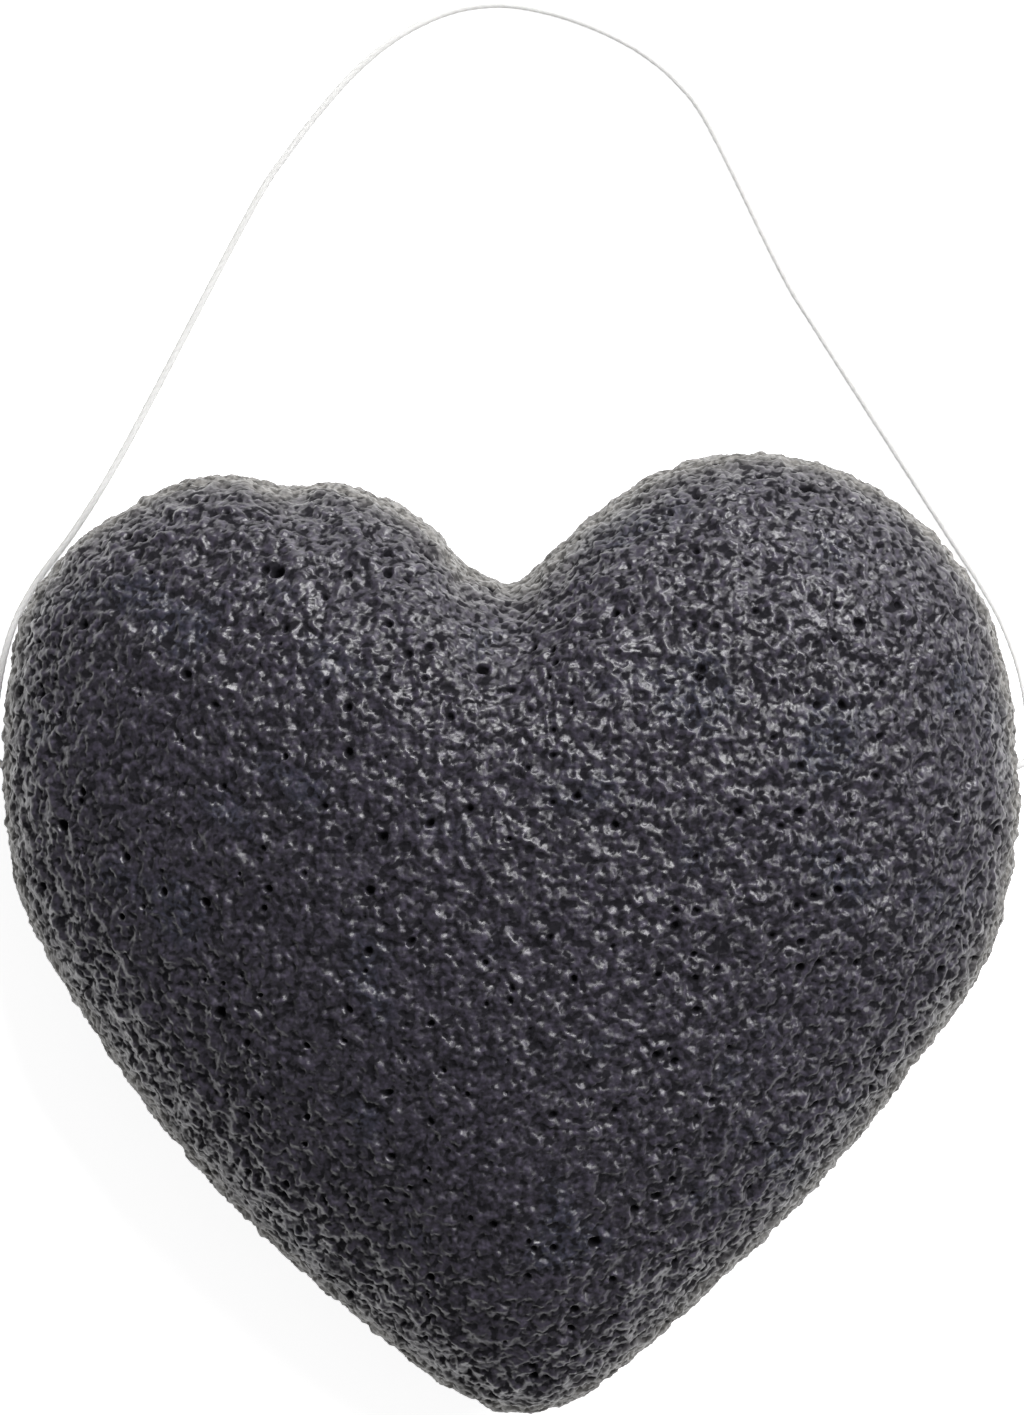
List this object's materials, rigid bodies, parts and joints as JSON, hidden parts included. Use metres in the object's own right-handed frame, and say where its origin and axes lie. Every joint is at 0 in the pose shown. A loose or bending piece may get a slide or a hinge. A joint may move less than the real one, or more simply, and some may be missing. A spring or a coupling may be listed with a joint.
{
  "type": "heart-shaped konjac sponge with hanging string",
  "caption": "Domed heart of porous foam with a flat back, with a thin cotton string threaded crosswise through it that forms a swinging hanging loop.",
  "frame": {"origin": "middle of the sponge's outline, on the flat back face that it rests on", "axes": "+Z out of the domed front, +X across the two lobes, +Y from the tip towards the notch and the string's loop"},
  "size_m": [0.0818, 0.111, 0.027],
  "materials": {
    "konjac_foam": "matte",
    "cotton_string": "matte"
  },
  "bodies": {
    "sponge": {"sponge_body": "konjac_foam"},
    "string": {"hanging_loop": "cotton_string", "inner_string_left": "cotton_string", "inner_string_right": "cotton_string", "string_knot": "cotton_string"}
  },
  "joints": [
    {"name": "loop_swing", "type": "hinge", "parent": "sponge", "child": "string", "pos_m": [0, 0.013, 0.0085], "axis": [1, 0, 0], "range_deg": [0, 185]}
  ]
}
